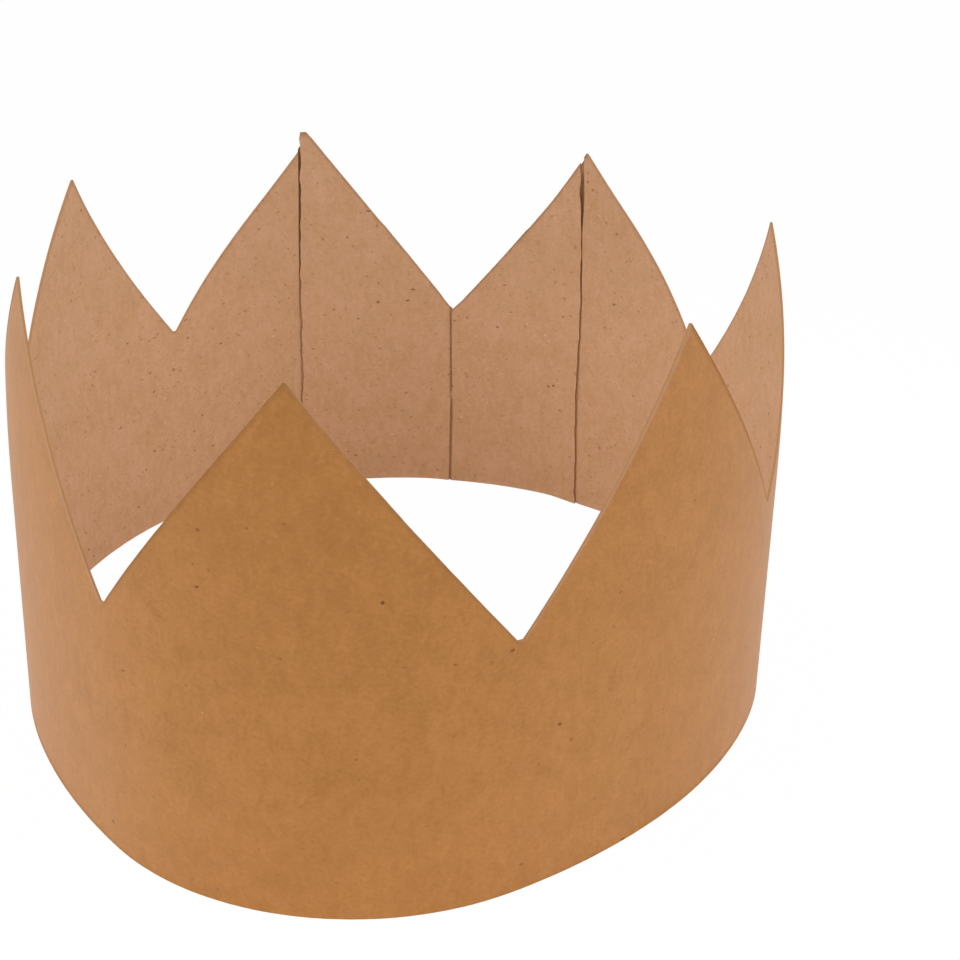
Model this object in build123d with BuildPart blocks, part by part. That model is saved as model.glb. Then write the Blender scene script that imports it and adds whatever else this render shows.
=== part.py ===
"""A paper crown: one strip of kraft card, cut into points and closed by two half-height slits.

The strip goes once round the head and overlaps itself by one point. Both of its ends are cut
upright through the middle of a point. At the notch in the middle of the overlap each layer has a
slit through half of its height, one from above and one from below, and the layers change sides
there. +Z is up, the crown stands on z = 0, the seam notch is at +Y, and the front point is near -Y.
Distances along the card run clockwise, seen from above, from the seam notch.
"""

import math
import os

import numpy as np
from build123d import *

# Driving dimensions, in millimetres.
pitch = 82.0  # from one point to the next, along the card
point_height = 102.5
notch_height = 53.0
notch_flat = 1.2  # level card at the bottom of each notch
point_flat = 0.5  # blunt end of each point
card = 0.45  # thickness of the card
layer_gap = 0.15  # air between the two layers of the overlap
slit_width = 0.8
slit_end_gap = 0.4  # between the ends of the two slits, where the layers cross
seam_flat = 3.0  # straight card at the seam notch, half of it on each side
# How far each half point bends, in degrees, clockwise from the seam notch. The band is a loose
# oval, fuller at the front point and on both sides of the seam.
bends = [26.5, 33.0, 17.5, 27.0, 20.0, 17.0, 39.5, 39.5, 16.0, 20.0, 21.0, 22.5, 37.0, 23.5]

# Worked-out sizes.
half_pitch = pitch / 2
loop_length = half_pitch * len(bends)
inner_track = -(card + layer_gap)  # from the middle of the outer layer to that of the inner one
slit_depth = (notch_height - slit_end_gap) / 2
least_sag = 1e-6  # below this a stretch counts as straight
trim_height = point_height + 1  # top of the pieces that are cut away
trim_reach = half_pitch / 3  # how far they reach to each side of a straight line between two cuts
slit_cut_depth = 4 * card  # of the piece that opens the slit in the outer layer


def stretches(turns):
    """Lists the card's straight and evenly bent stretches as (length, turn in degrees)."""
    spans = [half_pitch] * len(turns)
    spans[0] -= seam_flat / 2
    spans[-1] -= seam_flat / 2
    flat_end = (seam_flat / 2, 0.0)
    return [flat_end, *zip(spans, turns), flat_end]


def follow(distance, turns):
    """Returns (x, y, heading) in the middle of the card at a distance from the seam notch."""
    x, y, heading = 0.0, 0.0, 0.0
    for length, turn in stretches(turns):
        part = min(distance, length)
        half_turn = math.radians(turn * part / length) / 2
        chord = part * np.sinc(half_turn / math.pi)
        x += chord * math.cos(heading - half_turn)
        y += chord * math.sin(heading - half_turn)
        heading -= 2 * half_turn
        distance -= part
    return np.array([x, y, heading])


def closed(turns):
    """Nudges the bends as little as possible, so that the card comes back to where it began."""
    goal = np.array([0.0, 0.0, -2 * math.pi])
    step, rounds = 0.01, 4
    turns = np.array(turns)
    for _ in range(rounds):
        end = follow(loop_length, turns)
        slopes = [(follow(loop_length, turns + step * row) - end) / step for row in np.eye(len(turns))]
        turns = turns + np.linalg.lstsq(np.array(slopes).T, goal - end, rcond=None)[0]
    return turns


loop_bends = closed(bends)


def beside(distance, offset):
    """Returns the point at a distance along the loop, offset to the outside of the card's middle."""
    x, y, heading = follow(distance, loop_bends)
    return Vector(x - offset * math.sin(heading), y + offset * math.cos(heading))


def trace_line(start, end, offset):
    """Draws the edge that runs beside one stretch of the card, inside a BuildLine block."""
    first, middle, last = [beside(d, offset) for d in (start, (start + end) / 2, end)]
    sag = (middle - (first + last) / 2).length
    if sag > least_sag:
        ThreePointArc(first, middle, last)
    else:
        Line(first, last)


# Where the stretches begin and end along the loop.
corners = [0.0]
for span, _ in stretches(bends):
    corners.append(corners[-1] + span)
slit_edge = slit_width / 2
left_end = loop_length - slit_edge  # the slit's left edge, seen from outside the back

with BuildPart() as crown:
    # Outer layer: the whole loop, open only at the seam slit.
    with BuildSketch(Plane.XY):
        with BuildLine():
            for start, end in zip(corners, corners[1:]):
                trace_line(start, end, card / 2)
        make_face()
        with BuildLine():
            for start, end in zip(corners, corners[1:]):
                trace_line(start, end, -card / 2)
        make_face(mode=Mode.SUBTRACT)
        Rectangle(slit_width, slit_cut_depth, mode=Mode.SUBTRACT)
        # Inner layer: the strip's two ends, each half a pitch long.
        for tail in ([slit_edge, corners[1], corners[2]], [left_end, corners[-2], corners[-3]]):
            with BuildLine():
                for start, end in zip(tail, tail[1:]):
                    trace_line(start, end, inner_track + card / 2)
                    trace_line(start, end, inner_track - card / 2)
                Line(beside(tail[0], inner_track + card / 2), beside(tail[0], inner_track - card / 2))
                Line(beside(tail[-1], inner_track + card / 2), beside(tail[-1], inner_track - card / 2))
            make_face()
    extrude(amount=point_height)

    # The layers change sides in the slits: one end crosses over the slit in the other below the
    # middle of the notch's height, and the other end crosses above it.
    for side, base in ((-1, 0.0), (1, notch_height - slit_depth)):
        with BuildSketch(Plane.XY.offset(base)):
            with BuildLine():
                Polyline(
                    (side * slit_edge, card / 2),
                    (side * slit_edge, -card / 2),
                    (-side * slit_edge, inner_track - card / 2),
                    (-side * slit_edge, inner_track + card / 2),
                    close=True,
                )
            make_face()
        extrude(amount=slit_depth)

    # The points: above each half point the card is cut away, from a notch up to a point.
    for number in range(len(bends)):
        notch = number + number % 2
        peak = number + 1 - number % 2
        notch_spot = beside(notch * half_pitch, 0)
        peak_spot = beside(peak * half_pitch, 0)
        along = (peak_spot - notch_spot).normalized()
        run = (peak_spot - notch_spot).length
        slope = (point_height - notch_height) / (run - notch_flat / 2 - point_flat / 2)
        face_plane = Plane(origin=notch_spot, x_dir=along, z_dir=along.cross(Vector(0, 0, 1)))
        with BuildSketch(face_plane):
            with BuildLine():
                Polyline(
                    (-notch_flat / 2, trim_height),
                    (-notch_flat / 2, notch_height),
                    (notch_flat / 2, notch_height),
                    (notch_flat / 2 + (trim_height - notch_height) / slope, trim_height),
                    close=True,
                )
            make_face()
        extrude(amount=trim_reach, both=True, mode=Mode.SUBTRACT)

# The middle of the crown's base goes to the origin.
box = crown.part.bounding_box()
crown_band = Pos(-box.center().X, -box.center().Y, 0) * crown.part
crown_band.label = "crown_band"

os.makedirs("parts", exist_ok=True)
export_step(crown_band, "parts/crown_band.step")
print("volume", round(crown_band.volume, 1), "box", box.min, box.max, "loop bends", loop_bends.round(2))
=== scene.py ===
"""Dresses the paper crown: a strip of kraft card rolled into a crown, on a pale studio floor.

Lengths are in metres and angles in degrees. The flat strip is described along its length (along,
from the seam notch, clockwise seen from above) and up its width (up, from the bottom edge), and
every vertex of the card is that flat strip rolled round the loop that the card follows.
"""

import math

import bpy
import numpy as np
from bpy.props import FloatProperty, FloatVectorProperty, IntProperty, PointerProperty
from bpy.types import Operator, Panel, PropertyGroup
from mathutils import Matrix, Vector


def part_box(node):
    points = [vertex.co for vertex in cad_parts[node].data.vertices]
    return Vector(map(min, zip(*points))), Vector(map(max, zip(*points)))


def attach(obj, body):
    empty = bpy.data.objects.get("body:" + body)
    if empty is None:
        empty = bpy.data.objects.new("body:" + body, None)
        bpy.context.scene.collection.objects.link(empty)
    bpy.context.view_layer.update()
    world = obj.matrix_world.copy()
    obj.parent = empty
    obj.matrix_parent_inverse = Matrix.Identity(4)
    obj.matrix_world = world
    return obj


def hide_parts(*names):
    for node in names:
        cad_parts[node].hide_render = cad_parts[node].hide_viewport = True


bl_info = {
    "name": "Paper crown",
    "version": (1, 0, 0),
    "blender": (4, 5, 0),
    "location": "3D View > Sidebar > Crown",
    "description": "Builds the card of a paper crown, its finish and its stage",
    "category": "Object",
}

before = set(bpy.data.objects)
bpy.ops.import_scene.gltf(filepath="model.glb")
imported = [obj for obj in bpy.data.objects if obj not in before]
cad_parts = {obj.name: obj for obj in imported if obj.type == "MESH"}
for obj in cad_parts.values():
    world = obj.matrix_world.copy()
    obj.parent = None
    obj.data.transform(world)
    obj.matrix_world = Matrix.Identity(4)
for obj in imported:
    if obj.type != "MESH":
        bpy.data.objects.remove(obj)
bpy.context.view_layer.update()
NODE = "crown_band"
BAND_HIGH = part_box(NODE)[1]

# The card, as it was cut. These repeat the CAD model's driving dimensions.
PITCH = 0.082
HALF = PITCH / 2
CARD = 0.00045
BENDS = [26.5, 33.0, 17.5, 27.0, 20.0, 17.0, 39.5, 39.5, 16.0, 20.0, 21.0, 22.5, 37.0, 23.5]
LOOP = HALF * len(BENDS)
SEAM_FLAT = 0.003
# How far the tips lean in over the notches' height, as a slope: most at the first point after the
# seam, least at the front point, and evenly at the others.
SEAM_LEAN, EVEN_LEAN, FRONT_LEAN = 0.11, 0.055, 0.02
LEANS = [SEAM_LEAN] + 2 * [EVEN_LEAN] + [FRONT_LEAN] + 3 * [EVEN_LEAN]
# Where the two ends of the strip stop. One reaches past the middle of its point, the other stops
# short of it, and neither cut is quite upright.
OVER_LOW, OVER_HIGH = 0.0019, 0.0024
SHORT, SHORT_BOW = 0.0024, 0.0013
SLIT_SLIP = 0.0006  # how far the upper slit lies to the right of the lower one, from outside
FLUSH = 0.0006  # from the face of the outer layer to that of the layer inside it


def srgb(red, green, blue):
    """Turns an 0-255 display colour into a linear one."""
    shares = [level / 255 for level in (red, green, blue)]
    return tuple(((share + 0.055) / 1.055) ** 2.4 if share > 0.04 else share / 12.92 for share in shares)


class CrownCard(PropertyGroup):
    """Sizes of the card strip."""

    point_height: FloatProperty(name="Point height", description="From the base to the points",
                                default=0.1025, min=0.02, subtype="DISTANCE", unit="LENGTH")
    notch_height: FloatProperty(name="Notch height", description="From the base to the notches",
                                default=0.053, min=0.01, subtype="DISTANCE", unit="LENGTH")
    thickness: FloatProperty(name="Card thickness", description="Thickness of the card",
                             default=CARD, min=0.0001, subtype="DISTANCE", unit="LENGTH", precision=5)
    layer_gap: FloatProperty(name="Layer gap", description="Air between the two layers of the overlap",
                             default=0.00015, min=0.0, subtype="DISTANCE", unit="LENGTH", precision=5)
    slit_width: FloatProperty(name="Slit width", description="Width of the two slits that hook together",
                              default=0.0005, min=0.0001, subtype="DISTANCE", unit="LENGTH", precision=5)
    tail_lift: FloatProperty(name="Tail lift", description="How far the end behind the seam rides up",
                             default=0.0001, min=0.0, subtype="DISTANCE", unit="LENGTH", precision=5)
    seed: IntProperty(name="Cutting seed", description="Seed of the small unevenness of the hand-cut edges",
                      default=7, min=0)


class CrownFinish(PropertyGroup):
    """Colours of the kraft card."""

    outside: FloatVectorProperty(name="Outside", description="Colour of the card's smooth outer face",
                                 size=3, subtype="COLOR", default=srgb(180, 122, 62))
    inside: FloatVectorProperty(name="Inside", description="Colour of the card's rougher inner face",
                                size=3, subtype="COLOR", default=srgb(208, 166, 128))
    edge: FloatVectorProperty(name="Cut edge", description="Colour of the card's cut edges",
                              size=3, subtype="COLOR", default=srgb(184, 136, 90))


class CrownStage(PropertyGroup):
    """Camera and light."""

    lens: FloatProperty(name="Lens", description="Focal length on a 36 mm sensor", default=60.53, min=10.0)
    key_power: FloatProperty(name="Key light", description="Power of the soft light on the left",
                             default=4.9, min=0.0, unit="POWER")
    fill_power: FloatProperty(name="Fill light", description="Power of the soft light on the right",
                              default=3.9, min=0.0, unit="POWER")
    sky: FloatProperty(name="Room light", description="Strength of the even light from all round",
                       default=0.77, min=0.0)


# ---------------------------------------------------------------- the loop that the card follows
def spans(bends):
    """Lists the loop's straight and evenly bent stretches as (length, turn in degrees)."""
    lengths = [HALF] * len(BENDS)
    lengths[0] -= SEAM_FLAT / 2
    lengths[-1] -= SEAM_FLAT / 2
    flat = (SEAM_FLAT / 2, 0.0)
    return [flat, *zip(lengths, bends), flat]


def follow(distance, bends):
    """Returns x, y and heading of the card's middle at distances from the seam notch, as arrays."""
    rest = np.asarray(distance, float).copy()
    x, y, heading = np.zeros_like(rest), np.zeros_like(rest), np.zeros_like(rest)
    for length, turn in spans(bends):
        part = np.clip(rest, 0.0, length)
        half_turn = np.radians(turn * part / length) / 2
        chord = part * np.sinc(half_turn / math.pi)
        x += chord * np.cos(heading - half_turn)
        y += chord * np.sin(heading - half_turn)
        heading -= 2 * half_turn
        rest -= length
    return x, y, heading


def close_loop():
    """Nudges the bends as little as possible, so that the card comes back to where it began."""
    goal = np.array([0.0, 0.0, -2 * math.pi])
    bends, step, rounds = np.array(BENDS), 0.01, 4
    for _ in range(rounds):
        end = np.array(follow(LOOP, bends))
        nudged = [np.array(follow(LOOP, bends + step * row)) for row in np.eye(len(BENDS))]
        slopes = (np.array(nudged) - end) / step
        bends = bends + np.linalg.lstsq(slopes.T, goal - end, rcond=None)[0]
    return bends


def smooth(low, high, value):
    """Eases from 0 at low to 1 at high."""
    t = np.clip((value - low) / (high - low), 0.0, 1.0)
    return t * t * (3 - 2 * t)


def wander(value, seed, sizes, amounts):
    """Adds up smooth random waves along the card: one size of wave for each amount."""
    total = np.zeros_like(value)
    reach, spare = 1.0, 8  # the waves run this far both ways, with a few knots to spare
    for number, (size, amount) in enumerate(zip(sizes, amounts)):
        count = int(2 * reach / size) + spare
        knots = np.random.default_rng(seed * 31 + number).uniform(-1, 1, count)
        spot = (value + reach) / size
        cell = np.floor(spot).astype(int) % (count - 1)
        share = smooth(0.0, 1.0, spot - np.floor(spot))
        total += amount * (knots[cell] * (1 - share) + knots[cell + 1] * share)
    return total


def top_edge(along, card):
    """Height of the cut edge above the strip's bottom edge."""
    notch_flat, seam_notch_flat, point_flat = 0.0012, 0.0004, 0.0004
    over_rise, under_rise, deeper = 1.018, 0.984, 0.0003
    at_seam = (np.abs(along) < HALF / 2) | (np.abs(along - LOOP) < HALF / 2)
    notch_flat = np.where(at_seam, seam_notch_flat, notch_flat)
    from_notch = np.abs(((along + HALF) % PITCH) - HALF)
    # The end that reaches past its point goes on rising.
    from_notch = np.where(along < 0, -along, from_notch)
    highest = np.where(along < 0, over_rise, 1.0)
    run = HALF - notch_flat / 2 - point_flat / 2
    share = np.clip((from_notch - notch_flat / 2) / run, 0.0, highest)
    # The point under that end is cut a little lower.
    share = share * np.where((along > LOOP - PITCH) & (along < LOOP), under_rise, 1.0)
    rise = card.point_height - card.notch_height
    uneven = wander(along, card.seed, (0.0011, 0.006, 0.03), (0.00003, 0.00007, 0.00022))
    # Of the two notches at the seam, the first one is cut a little deeper.
    dip = deeper * np.clip(1 - np.abs(along) / HALF, 0.0, 1.0)
    return card.notch_height + rise * share + uneven - dip


def bottom_edge(along, card):
    """Height of the strip's bottom edge, which is cut a little high on both sides of the seam."""
    lowest, highest = 0.00005, 0.0008
    rise_from, rise_to, fall_from, fall_to = -0.036, -0.004, 0.030, 0.043
    uneven = wander(along, card.seed + 9, (0.0014, 0.02), (0.00002, 0.00003))
    from_seam = np.where(along > LOOP / 2, along - LOOP, along)
    hump = smooth(rise_from, rise_to, from_seam) * (1 - smooth(fall_from, fall_to, from_seam))
    return lowest + uneven + highest * hump


def slit_slip(up, card):
    """How far a slit lies to the side: nothing up to half the notch's height, then more and more."""
    middle = card.notch_height / 2
    return SLIT_SLIP * np.clip((up - middle) / middle, 0.0, 1.0)


def layer_offset(along, up, card):
    """How far the strip lies outside the loop's line: its two ends lie inside the other layer."""
    inner = -(card.thickness + card.layer_gap)
    middle, change = card.notch_height / 2, 0.001
    high = smooth(middle - change, middle + change, up)
    # A layer steps across just beyond the slit in the other one, and is cut where its own slit is.
    step, reach, cut = 0.0003, 0.0003, 0.0001
    crossing = 1 - smooth(-step - reach, -step + reach, along + slit_slip(up, card))
    right_tail = high * crossing + (1 - high) * (1 - smooth(-cut, cut, along))
    crossing = smooth(LOOP + step - reach, LOOP + step + reach, along)
    left_tail = (1 - high) * crossing + high * smooth(LOOP - cut, LOOP + cut, along)
    return inner * (right_tail + left_tail)


def end_stops(up, card):
    """Where the left and the right end of the strip are cut, at each height."""
    share = np.clip(up / card.point_height, 0.0, 1.0)
    left = LOOP + HALF - SHORT - SHORT_BOW * 4 * share * (1 - share)
    right = -HALF - OVER_LOW - (OVER_HIGH - OVER_LOW) * share
    return left, right


def bank(past, groove):
    """Share of the full bend past an end: none at the end itself, all of it a groove's width on."""
    start, full_until, gone_at = 0.0001, 0.006, 0.032
    return smooth(start, groove, past) * (1 - smooth(full_until, gone_at, past))


def gapes(along, up, card):
    """How far the strip bends inwards near its free ends, which gape open just below their tips."""
    low, high, tip = card.notch_height - 0.006, card.point_height - 0.007, card.point_height
    left_most, right_most, least_share, tip_ease, end_reach = 0.0011, 0.0012, 0.06, 0.15, 0.014
    gape = smooth(low, high, up) ** 1.5 * (1 - tip_ease * smooth(high, tip, up)) + least_share
    left_gape, right_gape = left_most * gape, right_most * gape
    left_stop, right_stop = end_stops(up, card)
    left_end = left_gape * smooth(left_stop - end_reach, left_stop, along)
    right_end = right_gape * (1 - smooth(right_stop, right_stop + end_reach, along))
    # Past each end the outer layer bends in too, until it is flush with the end's inner face.
    narrow = 0.0006
    left_groove = narrow + 0.0011 * smooth(tip - 0.024, tip - 0.010, up)
    right_groove = narrow + 0.0003 * smooth(tip - 0.020, tip, up)
    share = np.clip(gape * 4, 0.0, 1.0)
    left_bank = (left_gape + FLUSH * share) * bank(along - (left_stop - LOOP), left_groove)
    right_bank = (right_gape + FLUSH * share) * bank(right_stop + LOOP - along, right_groove)
    # Beside the seam the free edge of each slit stands a little off the layer that crosses it.
    middle, beside, stand_off = card.notch_height / 2, 0.004, 0.0002
    free_left = smooth(LOOP + beside, LOOP, along) * (along > LOOP) * (up > middle)
    free_right = smooth(-beside, 0.0, along) * (along < 0) * (up < middle)
    return left_end + right_end + left_bank + right_bank + stand_off * (free_left + free_right)


def strip_points(along, up, out, card):
    """Places flat points of the strip beside a straight path: x along it, y outwards and z up."""
    rise = card.point_height - card.notch_height
    point = np.floor((along % LOOP) / PITCH).astype(int) % len(LEANS)
    above = np.clip(up - card.notch_height, 0.0, None)
    lean = np.array(LEANS)[point] * above ** 2 / rise
    wave = wander(along, card.seed + 5, (0.05,), (0.00015,)) * np.clip(up / card.point_height, 0.0, 1.0)
    wave = np.where((along > HALF) & (along < LOOP - HALF), wave, 0.0)
    reach = out + layer_offset(along, up, card) - lean - gapes(along, up, card) + wave
    lift = card.tail_lift * (1 - smooth(-HALF, PITCH, along))
    unmoved, moved = 0.004, 0.0003
    slip = slit_slip(up, card) * smooth(unmoved, moved, np.abs(along - LOOP))
    return np.stack([along - slip, reach, up + lift], axis=-1)


def loop_path():
    """Draws the loop that the card follows as a curve, where the CAD band stands."""
    pieces = 2400
    x, y, heading = follow(np.linspace(0, LOOP, pieces + 1), close_loop())
    half_card = CARD / 2
    shift_x = BAND_HIGH[0] - (x - half_card * np.sin(heading)).max()
    shift_y = BAND_HIGH[1] - half_card
    curve = bpy.data.curves.new("loop_path", "CURVE")
    curve.dimensions = "3D"
    spline = curve.splines.new("POLY")
    spline.points.add(pieces)
    places = np.stack([x + shift_x, y + shift_y, np.zeros_like(x), np.ones_like(x)], axis=-1)
    spline.points.foreach_set("co", places.ravel())
    return bpy.data.objects.new("loop_path", curve)


def roll_tree():
    """Geometry nodes that roll a flat strip round a path and give its faces their materials."""
    group = bpy.data.node_groups.new("roll_card", "GeometryNodeTree")
    for name, kind in (
        ("Strip", "NodeSocketGeometry"),
        ("Path", "NodeSocketObject"),
        ("Path Length", "NodeSocketFloat"),
        ("Outside", "NodeSocketMaterial"),
        ("Inside", "NodeSocketMaterial"),
        ("Cut Edge", "NodeSocketMaterial"),
    ):
        group.interface.new_socket(name, in_out="INPUT", socket_type=kind)
    group.interface.new_socket("Card", in_out="OUTPUT", socket_type="NodeSocketGeometry")
    nodes, link = group.nodes, group.links.new
    entry, exit_node = nodes.new("NodeGroupInput"), nodes.new("NodeGroupOutput")

    # Where each point lies along the path, outwards from it and up.
    flat = nodes.new("ShaderNodeSeparateXYZ")
    link(nodes.new("GeometryNodeInputPosition").outputs[0], flat.inputs[0])
    wrap = nodes.new("ShaderNodeMath")
    wrap.operation = "FLOORED_MODULO"
    link(flat.outputs["X"], wrap.inputs[0])
    link(entry.outputs["Path Length"], wrap.inputs[1])
    path = nodes.new("GeometryNodeObjectInfo")
    link(entry.outputs["Path"], path.inputs["Object"])
    sample = nodes.new("GeometryNodeSampleCurve")
    sample.mode = "LENGTH"
    link(path.outputs["Geometry"], sample.inputs["Curves"])
    link(wrap.outputs[0], sample.inputs["Length"])

    # The way out of the loop is level and square to the path.
    outward = nodes.new("ShaderNodeVectorMath")
    outward.operation = "CROSS_PRODUCT"
    outward.inputs[0].default_value = (0, 0, 1)
    link(sample.outputs["Tangent"], outward.inputs[1])
    beside = nodes.new("ShaderNodeVectorMath")
    beside.operation = "MULTIPLY_ADD"
    link(outward.outputs[0], beside.inputs[0])
    link(flat.outputs["Y"], beside.inputs[1])
    link(sample.outputs["Position"], beside.inputs[2])
    upward = nodes.new("ShaderNodeCombineXYZ")
    link(flat.outputs["Z"], upward.inputs["Z"])
    place = nodes.new("GeometryNodeSetPosition")
    link(entry.outputs["Strip"], place.inputs["Geometry"])
    link(beside.outputs[0], place.inputs["Position"])
    link(upward.outputs[0], place.inputs["Offset"])
    realize = nodes.new("GeometryNodeRealizeInstances")
    link(place.outputs[0], realize.inputs[0])

    # Faces carry 0 for the outside, 1 for the inside and 2 for the cut edges.
    kind = nodes.new("GeometryNodeInputNamedAttribute")
    kind.data_type = "INT"
    kind.inputs["Name"].default_value = "face_kind"
    last = realize.outputs[0]
    for number, name in enumerate(("Outside", "Inside", "Cut Edge")):
        match = nodes.new("FunctionNodeCompare")
        match.data_type, match.operation = "INT", "EQUAL"
        whole = [socket for socket in match.inputs if socket.type == "INT"]
        link(kind.outputs[0], whole[0])
        whole[1].default_value = number
        paint = nodes.new("GeometryNodeSetMaterial")
        link(last, paint.inputs["Geometry"])
        link(match.outputs[0], paint.inputs["Selection"])
        link(entry.outputs[name], paint.inputs["Material"])
        last = paint.outputs[0]
    link(last, exit_node.inputs[0])
    return group


def rolled(context, name, mesh, materials):
    """Rolls the flat strip round the loop with geometry nodes and returns it as a plain object."""
    piece = bpy.data.objects.new(name, mesh)
    path = loop_path()
    for item in (piece, path):
        context.collection.objects.link(item)
    group = roll_tree()
    modifier = piece.modifiers.new("roll", "NODES")
    modifier.node_group = group
    values = {"Path": path, "Path Length": LOOP, **materials}
    for socket in group.interface.items_tree:
        if socket.in_out == "INPUT" and socket.name in values:
            modifier[socket.identifier] = values[socket.name]
    graph = context.evaluated_depsgraph_get()
    baked = bpy.data.meshes.new_from_object(piece.evaluated_get(graph), preserve_all_data_layers=True,
                                            depsgraph=graph)
    piece.modifiers.clear()
    piece.data = baked
    baked.name = name
    baked.attributes.remove(baked.attributes["face_kind"])
    curve = path.data
    bpy.data.objects.remove(path)
    bpy.data.curves.remove(curve)
    bpy.data.meshes.remove(mesh)
    bpy.data.node_groups.remove(group)
    return piece


# ---------------------------------------------------------------- the card as a mesh
def columns(card):
    """Distances along the strip at which the mesh has a column of vertices."""
    slit = card.slit_width / 2
    first, last = -HALF, LOOP + HALF
    marks = {first, last, -slit, slit, LOOP - slit, LOOP + slit}
    for number in range(-1, len(BENDS) + 2):
        for step in (-0.0006, -0.0002, 0.0, 0.0002, 0.0006):
            marks.add(number * HALF + step)
    for centre in (0.0, LOOP):
        for reach in (0.0004, 0.0006, 0.0008, 0.0010):
            marks.update((centre - reach, centre + reach))
    # Finer where the outer layer bends in past each end.
    for start, way in ((HALF - SHORT - SHORT_BOW, 1), (LOOP - HALF - OVER_LOW, -1)):
        marks.update(start + way * 0.0002 * number for number in range(24))
    marks = sorted(m for m in marks if first <= m <= last)
    marks = [m for m in marks if not (min(abs(m), abs(m - LOOP)) < slit - 1e-7)]
    closest, widest = 0.00008, 0.0013
    along = [marks[0]]
    for mark in marks[1:]:
        gap = mark - along[-1]
        if gap < closest and mark != marks[-1]:
            continue
        parts = max(1, math.ceil(gap / widest))
        along.extend([along[-1] + gap * (i + 1) / parts for i in range(parts)])
    return np.array(along)


def torn_strip(along, rows, card):
    """Spreads a grid over the flat strip, up to its two torn end cuts: distances along and up it."""
    share = np.linspace(0, 1, rows + 1)
    bottom = bottom_edge(along, card)[:, None]
    flat_along = np.repeat(along[:, None], rows + 1, axis=1)
    flat_up = bottom + (top_edge(along, card)[:, None] - bottom) * share
    # The two end cuts aren't quite upright and a little torn, so the last half points are made
    # longer or shorter to meet them, and their sloping edges go on to there.
    left_stop, right_stop = end_stops(flat_up, card)
    left_torn, right_torn = [
        wander(flat_up, card.seed + more, (0.0011, 0.0031, 0.011), (0.0002, 0.0002, 0.0002))
        for more in (20, 21)
    ]
    left_pull = np.clip((flat_along - LOOP) / HALF, 0.0, 1.0) * (left_stop + left_torn - LOOP - HALF)
    right_pull = np.clip(-flat_along / HALF, 0.0, 1.0) * (right_stop + right_torn + HALF)
    flat_along += left_pull + right_pull
    top = top_edge(flat_along[:, -1], card)[:, None]
    return flat_along, bottom + (top - bottom) * share


def slit_cells(along, rows, card):
    """Finds the cells of the grid that the two slits take away, as rows for each column."""
    slit, middle, bridge = card.slit_width / 2 + 1e-7, rows // 2, 2
    taken = {}
    for column, centre in enumerate((along[:-1] + along[1:]) / 2):
        if abs(centre) < slit:
            taken[column] = range(0, middle)
        if abs(centre - LOOP) < slit:
            taken[column] = range(middle + bridge, rows)
    return taken


def card_faces(count, rows, taken):
    """Lists the card's faces and their kinds: 0 outside, 1 inside and 2 for the cut edges."""

    def index(corner, side):
        return (corner[0] * (rows + 1) + corner[1]) * 2 + side

    def is_open(column, row):
        outside = column < 0 or column >= count - 1 or row < 0 or row >= rows
        return outside or row in taken.get(column, ())

    faces, kinds = [], []
    for column in range(count - 1):
        for row in range(rows):
            if is_open(column, row):
                continue
            a, b, c, d = (column, row), (column + 1, row), (column + 1, row + 1), (column, row + 1)
            faces.append([index(corner, 0) for corner in (d, c, b, a)])
            faces.append([index(corner, 1) for corner in (a, b, c, d)])
            kinds.extend((0, 1))
            for beyond, (p, q) in (((column, row - 1), (a, b)), ((column, row + 1), (c, d)),
                                   ((column - 1, row), (d, a)), ((column + 1, row), (b, c))):
                if is_open(*beyond):
                    faces.append([index(p, 0), index(p, 1), index(q, 1), index(q, 0)])
                    kinds.append(2)
    return faces, kinds


def card_mesh(card):
    """Builds the flat card with its two slits, as one closed mesh with a map of the strip."""
    rows = 56
    along = columns(card)
    flat_along, flat_up = torn_strip(along, rows, card)
    half_card = card.thickness / 2
    layers = [strip_points(flat_along, flat_up, out, card) for out in (half_card, -half_card)]
    verts = np.stack(layers, axis=2).reshape(-1, 3)
    faces, kinds = card_faces(len(along), rows, slit_cells(along, rows, card))
    used = np.unique(np.array(faces))
    renumber = np.full(len(verts), -1)
    renumber[used] = np.arange(len(used))
    mesh = bpy.data.meshes.new("flat_card")
    mesh.from_pydata(verts[used].tolist(), [], renumber[np.array(faces)].tolist())
    mesh.update()

    # The map is the flat strip itself. The inner face has its own stretch of it, further up.
    inner_shift = 0.2
    flat = np.stack([flat_along + HALF, flat_up], axis=-1)
    flat = np.repeat(flat[:, :, None, :], 2, axis=2)
    flat[:, :, 1, 1] += inner_shift
    flat = flat.reshape(-1, 2)
    layer = mesh.uv_layers.new(name="flat_strip")
    loops = np.empty(len(mesh.loops), dtype=np.int32)
    mesh.loops.foreach_get("vertex_index", loops)
    layer.data.foreach_set("uv", flat[used][loops].astype(np.float32).ravel())
    face_kind = mesh.attributes.new("face_kind", "INT", "FACE")
    face_kind.data.foreach_set("value", np.array(kinds, dtype=np.int32))
    mesh.polygons.foreach_set("use_smooth", np.array([kind < 2 for kind in kinds], dtype=bool))
    return mesh


# ---------------------------------------------------------------- shader node groups
def new_group(name, inputs, outputs):
    """Starts a shader node group and returns it with its input and output nodes."""
    group = bpy.data.node_groups.new(name, "ShaderNodeTree")
    for socket_name, kind, value in inputs:
        socket = group.interface.new_socket(socket_name, in_out="INPUT", socket_type=kind)
        if value is not None:
            socket.default_value = value
    for socket_name, kind in outputs:
        group.interface.new_socket(socket_name, in_out="OUTPUT", socket_type=kind)
    return group, group.nodes.new("NodeGroupInput"), group.nodes.new("NodeGroupOutput")


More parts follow.
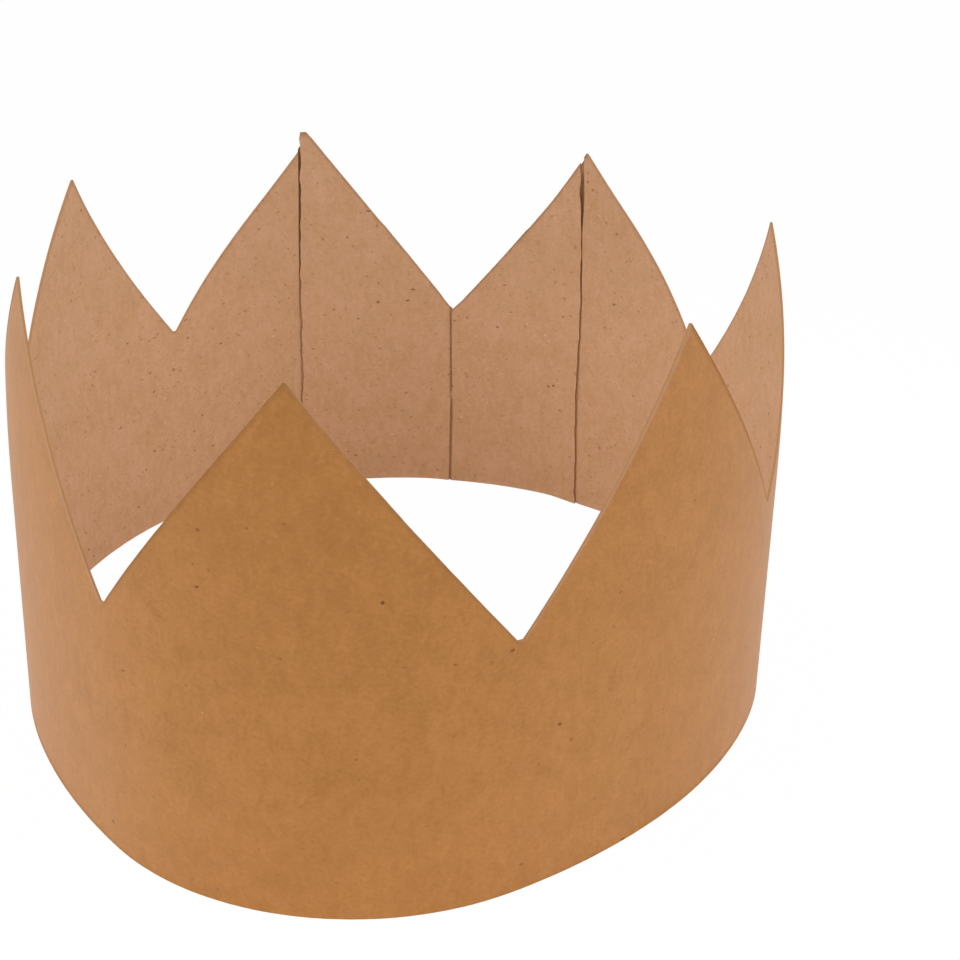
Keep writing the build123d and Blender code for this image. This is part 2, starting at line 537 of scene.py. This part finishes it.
class Tree:
    """Short ways to add and link the nodes of one tree."""

    def __init__(self, tree):
        self.nodes, self.links = tree.nodes, tree.links

    def link(self, source, target):
        self.links.new(source, target)

    def fill(self, node, inputs):
        for key, value in inputs.items():
            if isinstance(value, bpy.types.NodeSocket):
                self.link(value, node.inputs[key])
            else:
                node.inputs[key].default_value = value
        return node

    def noise(self, vector, scale, detail=2.0, roughness=0.5, distortion=0.0):
        node = self.nodes.new("ShaderNodeTexNoise")
        self.fill(node, {"Vector": vector, "Scale": scale, "Detail": detail, "Roughness": roughness,
                         "Distortion": distortion})
        return node.outputs["Fac"]

    def stretch(self, vector, scale, turn=0.0):
        node = self.nodes.new("ShaderNodeMapping")
        self.fill(node, {"Vector": vector, "Scale": scale, "Rotation": (0.0, 0.0, math.radians(turn))})
        return node.outputs["Vector"]

    def remap(self, value, low, high, to_low=0.0, to_high=1.0):
        node = self.nodes.new("ShaderNodeMapRange")
        self.fill(node, {"Value": value, "From Min": low, "From Max": high, "To Min": to_low,
                         "To Max": to_high})
        return node.outputs["Result"]

    def math(self, kind, first, second=0.0):
        node = self.nodes.new("ShaderNodeMath")
        node.operation = kind
        self.fill(node, {0: first, 1: second})
        return node.outputs[0]

    def blend(self, share, first, second):
        """Mixes two colours. The colour sockets of the node are numbers 6 and 7, and output 2."""
        node = self.nodes.new("ShaderNodeMix")
        node.data_type = "RGBA"
        self.fill(node, {0: share, 6: first, 7: second})
        return node.outputs[2]


def fibre_group():
    """Pulp fibres: short strands lying two ways across each other, and a fine grain."""
    group, entry, exit_node = new_group(
        "pulp_fibres",
        [("Vector", "NodeSocketVector", None)],
        [("Strands", "NodeSocketFloat"), ("Height", "NodeSocketFloat")],
    )
    tree = Tree(group)
    total = None
    for turn, long_way, short_way in ((14, 420, 2300), (-41, 480, 2100)):
        turned = tree.stretch(entry.outputs["Vector"], (1.0, 1.0, 1.0), turn)
        strand = tree.noise(tree.stretch(turned, (long_way, short_way, 1.0)), 1.0, 1.0, 0.6)
        line = tree.remap(tree.math("ABSOLUTE", tree.math("SUBTRACT", strand, 0.5)), 0.0, 0.05, 1.0, 0.0)
        total = line if total is None else tree.math("MAXIMUM", total, line)
    gate = tree.remap(tree.noise(entry.outputs["Vector"], 700.0, 0.0), 0.46, 0.66)
    total = tree.math("MULTIPLY", total, gate)
    tree.link(total, exit_node.inputs["Strands"])
    grain = tree.noise(entry.outputs["Vector"], 1700.0, 1.0, 0.6)
    height = tree.math("ADD", tree.math("MULTIPLY", total, 0.35), grain)
    tree.link(height, exit_node.inputs["Height"])
    return group


def cloud_group():
    """Cloudy pulp: soft blotches a few millimetres across, and finer ones in them."""
    group, entry, exit_node = new_group(
        "pulp_clouds",
        [("Vector", "NodeSocketVector", None)],
        [("Cloud", "NodeSocketFloat"), ("Fine", "NodeSocketFloat")],
    )
    tree = Tree(group)
    vector = entry.outputs["Vector"]
    broad = tree.noise(vector, 85.0, 1.0, 0.5, 0.3)
    middle = tree.noise(tree.stretch(vector, (1.3, 0.8, 1.0), 18.0), 300.0, 2.0, 0.6, 0.6)
    fine = tree.noise(tree.stretch(vector, (1.0, 1.2, 1.0), -20.0), 1050.0, 1.0, 0.6)
    cloud = tree.math("ADD", tree.math("MULTIPLY", tree.remap(broad, 0.3, 0.7), 0.35),
                      tree.math("MULTIPLY", tree.remap(middle, 0.28, 0.72), 0.65))
    tree.link(cloud, exit_node.inputs["Cloud"])
    tree.link(tree.remap(fine, 0.25, 0.75), exit_node.inputs["Fine"])
    return group


def fleck_group():
    """Flecks: scattered specks of bark and of pale pulp, a few bold and many faint."""
    group, entry, exit_node = new_group(
        "bark_flecks",
        [("Vector", "NodeSocketVector", None), ("Amount", "NodeSocketFloat", 0.5)],
        [("Dark", "NodeSocketFloat"), ("Pale", "NodeSocketFloat")],
    )
    tree = Tree(group)
    vector = entry.outputs["Vector"]
    warp = group.nodes.new("ShaderNodeTexNoise")
    tree.fill(warp, {"Vector": vector, "Scale": 900.0, "Detail": 1.0})
    push = group.nodes.new("ShaderNodeVectorMath")
    push.operation = "MULTIPLY_ADD"
    tree.fill(push, {0: warp.outputs["Color"], 1: (0.0011, 0.0011, 0.0), 2: vector})

    def specks(scale, turn, stretch, size, chance, weakest, strongest):
        """Chooses some of the cells at random and puts one soft speck in the middle of each."""
        node = group.nodes.new("ShaderNodeTexVoronoi")
        tree.fill(node, {"Vector": tree.stretch(push.outputs[0], (stretch, 1.0, 1.0), turn), "Scale": scale})
        near = tree.remap(node.outputs["Distance"], size, size * 0.5)
        split = group.nodes.new("ShaderNodeSeparateColor")
        tree.link(node.outputs["Color"], split.inputs[0])
        limit = tree.math("MULTIPLY", entry.outputs["Amount"], chance)
        chosen = tree.math("LESS_THAN", split.outputs[0], limit)
        strength = tree.remap(split.outputs[1], 0.0, 1.0, weakest, strongest)
        return tree.math("MULTIPLY", tree.math("MULTIPLY", near, chosen), strength)

    bold = specks(440.0, 55.0, 0.6, 0.16, 0.22, 0.45, 1.0)
    faint = specks(1000.0, -25.0, 0.6, 0.26, 0.32, 0.15, 0.6)
    tree.link(tree.math("MAXIMUM", bold, faint), exit_node.inputs["Dark"])
    tree.link(specks(760.0, 30.0, 0.6, 0.17, 0.16, 0.3, 1.0), exit_node.inputs["Pale"])
    return group


def shade(colour, value, red=1.0, blue=1.0):
    """Returns a colour made lighter or darker, with its red and blue pushed apart, and full alpha."""
    scaled = [level * value * push for level, push in zip(colour, (red, 1.0, blue))]
    return (*(min(level, 1.0) for level in scaled), 1.0)


def card_material(name, colour, groups, cloud, fleck, fibre, bump, roughness, sheen):
    """Makes one face of the card: clouds, fibres and flecks over its colour."""
    material = bpy.data.materials.new(name)
    material.use_nodes = True
    nodes, tree = material.node_tree.nodes, Tree(material.node_tree)
    shader = nodes["Principled BSDF"]
    tree.fill(shader, {
        "Roughness": roughness,
        "Specular IOR Level": sheen * 0.65,
        "Sheen Weight": sheen,
        "Sheen Roughness": 0.45,
        "Sheen Tint": (1.0, 0.80, 0.70, 1.0),
    })
    strip_map = nodes.new("ShaderNodeUVMap")
    strip_map.uv_map = "flat_strip"
    used = {}
    for key, group in groups.items():
        used[key] = nodes.new("ShaderNodeGroup")
        used[key].node_tree = group
        tree.link(strip_map.outputs["UV"], used[key].inputs["Vector"])
    used["flecks"].inputs["Amount"].default_value = fleck

    dark_cloud, pale_cloud = shade(colour, 1 - cloud, 1.02, 0.9), shade(colour, 1 + cloud, 0.99, 1.1)
    tint = tree.blend(used["clouds"].outputs["Cloud"], dark_cloud, pale_cloud)
    fine_cloud = cloud * 0.6
    fine = tree.remap(used["clouds"].outputs["Fine"], 0.0, 1.0, 1 - fine_cloud, 1 + fine_cloud)
    fine_tint = nodes.new("ShaderNodeVectorMath")
    fine_tint.operation = "SCALE"
    tree.fill(fine_tint, {0: tint, "Scale": fine})
    strands = tree.math("MULTIPLY", used["fibres"].outputs["Strands"], fibre)
    with_fibres = tree.blend(strands, fine_tint.outputs[0], shade(colour, 1.28, 0.98, 1.2))
    with_dark = tree.blend(used["flecks"].outputs["Dark"], with_fibres, shade(colour, 0.30, 1.35, 0.8))
    with_pale = tree.blend(used["flecks"].outputs["Pale"], with_dark, shade(colour, 1.4, 0.97, 1.25))
    tree.link(with_pale, shader.inputs["Base Color"])

    relief = nodes.new("ShaderNodeBump")
    tree.fill(relief, {"Strength": bump, "Distance": 0.00012, "Height": used["fibres"].outputs["Height"]})
    tree.link(relief.outputs["Normal"], shader.inputs["Normal"])
    return material


class CROWN_OT_card(Operator):
    """Builds the rolled card strip, with its points, slits and finish"""

    bl_idname = "crown.card"
    bl_label = "Card strip"

    def execute(self, context):
        card, finish = context.scene.crown_card, context.scene.crown_finish
        groups = {"clouds": cloud_group(), "fibres": fibre_group(), "flecks": fleck_group()}
        materials = {
            "Outside": card_material("kraft_outside", finish.outside, groups, cloud=0.12, fleck=0.15,
                                     fibre=0.12, bump=0.18, roughness=0.78, sheen=0.38),
            "Inside": card_material("kraft_inside", finish.inside, groups, cloud=0.09, fleck=1.0,
                                    fibre=0.22, bump=0.28, roughness=0.86, sheen=0.10),
            "Cut Edge": card_material("kraft_edge", finish.edge, groups, cloud=0.10, fleck=0.2,
                                      fibre=0.4, bump=0.4, roughness=0.95, sheen=0.0),
        }
        piece = rolled(context, "card_strip", card_mesh(card), materials)
        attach(piece, "root")
        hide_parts(NODE)
        return {"FINISHED"}


class CROWN_OT_stage(Operator):
    """Builds the pale floor, the soft light and the camera"""

    bl_idname = "crown.stage"
    bl_label = "Stage"

    def execute(self, context):
        stage = context.scene.crown_stage
        self.floor(context)
        self.lights(context, stage)
        self.camera(context, stage)
        context.scene.view_settings.view_transform = "Standard"
        return {"FINISHED"}

    def floor(self, context):
        """A wide floor that shows white to the camera and sends light up, most of it near the crown, where
        its colour is painted paler as a pool of light.
        """
        reach = 6.0
        corners = [(-reach, -reach, 0), (reach, -reach, 0), (reach, reach, 0), (-reach, reach, 0)]
        mesh = bpy.data.meshes.new("floor")
        mesh.from_pydata(corners, [], [(0, 1, 2, 3)])
        floor = bpy.data.objects.new("floor", mesh)
        context.collection.objects.link(floor)
        material = bpy.data.materials.new("pale_floor")
        material.use_nodes = True
        nodes, tree = material.node_tree.nodes, Tree(material.node_tree)
        paint = nodes["Principled BSDF"]
        away = nodes.new("ShaderNodeVectorMath")
        away.operation = "LENGTH"
        tree.link(nodes.new("ShaderNodeTexCoord").outputs["Object"], away.inputs[0])
        # Painted pool of light: the floor's colour is pale near the crown and grey further out, so that more
        # light bounces up near it.
        painted_pool_until, painted_pool_gone_from, glow_share = 0.12, 0.40, 0.985
        far = tree.remap(away.outputs["Value"], painted_pool_until, painted_pool_gone_from)
        tint = tree.blend(far, (0.96, 0.95, 0.94, 1), (0.45, 0.45, 0.45, 1))
        tree.fill(paint, {"Base Color": tint, "Roughness": 0.9})
        glow = nodes.new("ShaderNodeEmission")
        glow.inputs["Color"].default_value = (1, 1, 1, 1)
        path = nodes.new("ShaderNodeLightPath")
        seen = tree.math("MAXIMUM", path.outputs["Is Camera Ray"], path.outputs["Is Glossy Ray"])
        seen = tree.math("MAXIMUM", seen, path.outputs["Is Transmission Ray"])
        mix = nodes.new("ShaderNodeMixShader")
        tree.fill(mix, {0: tree.math("MULTIPLY", seen, glow_share), 1: paint.outputs[0], 2: glow.outputs[0]})
        tree.link(mix.outputs[0], nodes["Material Output"].inputs["Surface"])
        mesh.materials.append(material)

    def lights(self, context, stage):
        """An even white room and a large soft light on each side, aimed at the crown's middle."""
        size, target = 0.9, Vector((0, 0, 0.05))
        world = bpy.data.worlds.new("white_room")
        context.scene.world = world
        world.use_nodes = True
        tree = Tree(world.node_tree)
        background = world.node_tree.nodes["Background"]
        background.inputs["Color"].default_value = (1, 1, 1, 1)
        path = world.node_tree.nodes.new("ShaderNodeLightPath")
        seen = tree.math("MAXIMUM", path.outputs["Is Camera Ray"], path.outputs["Is Transmission Ray"])
        tree.link(tree.remap(seen, 0.0, 1.0, stage.sky, 1.0), background.inputs["Strength"])
        for name, power, place in (
            ("key", stage.key_power, (-0.90, -0.38, 0.80)),
            ("fill", stage.fill_power, (0.95, -0.25, 0.75)),
        ):
            light = bpy.data.lights.new(name, "AREA")
            light.energy, light.size = power, size
            lamp = bpy.data.objects.new(name, light)
            lamp.location = place
            lamp.rotation_euler = (target - Vector(place)).to_track_quat("-Z", "Y").to_euler()
            context.collection.objects.link(lamp)

    def camera(self, context, stage):
        """A camera a third of a metre in front of the crown's middle, looking down on it."""
        data = bpy.data.cameras.new("camera")
        data.lens, data.sensor_width = stage.lens, 36.0
        data.shift_x, data.shift_y = 0.0053, -0.0847
        data.clip_start = 0.01
        camera = bpy.data.objects.new("camera", data)
        camera.location = (0.06134, -0.33024, 0.19244)
        look_down, look_left, roll_left = 21.019, 7.481, 1.440
        turn = Matrix.Rotation(math.radians(look_left), 3, "Z")
        tilt = Matrix.Rotation(math.radians(90 - look_down), 3, "X")
        spin = Matrix.Rotation(math.radians(roll_left), 3, "Z")
        camera.rotation_euler = (turn @ tilt @ spin).to_euler()
        context.collection.objects.link(camera)
        context.scene.camera = camera


class CROWN_PT_panel(Panel):
    """Sidebar panel that lists the crown's operators and settings"""

    bl_idname = "CROWN_PT_panel"
    bl_label = "Paper crown"
    bl_space_type = "VIEW_3D"
    bl_region_type = "UI"
    bl_category = "Crown"

    def draw(self, context):
        for group, operator in (
            ("crown_card", "crown.card"),
            ("crown_finish", None),
            ("crown_stage", "crown.stage"),
        ):
            box = self.layout.box()
            settings = getattr(context.scene, group)
            for name in settings.__annotations__:
                box.prop(settings, name)
            if operator:
                box.operator(operator)


CLASSES = (CrownCard, CrownFinish, CrownStage, CROWN_OT_card, CROWN_OT_stage, CROWN_PT_panel)


def register():
    for item in CLASSES:
        bpy.utils.register_class(item)
    bpy.types.Scene.crown_card = PointerProperty(type=CrownCard)
    bpy.types.Scene.crown_finish = PointerProperty(type=CrownFinish)
    bpy.types.Scene.crown_stage = PointerProperty(type=CrownStage)


def unregister():
    for name in ("crown_card", "crown_finish", "crown_stage"):
        delattr(bpy.types.Scene, name)
    for item in reversed(CLASSES):
        bpy.utils.unregister_class(item)


def main():
    register()
    bpy.ops.crown.card()
    bpy.ops.crown.stage()


if __name__ == "__main__":
    main()
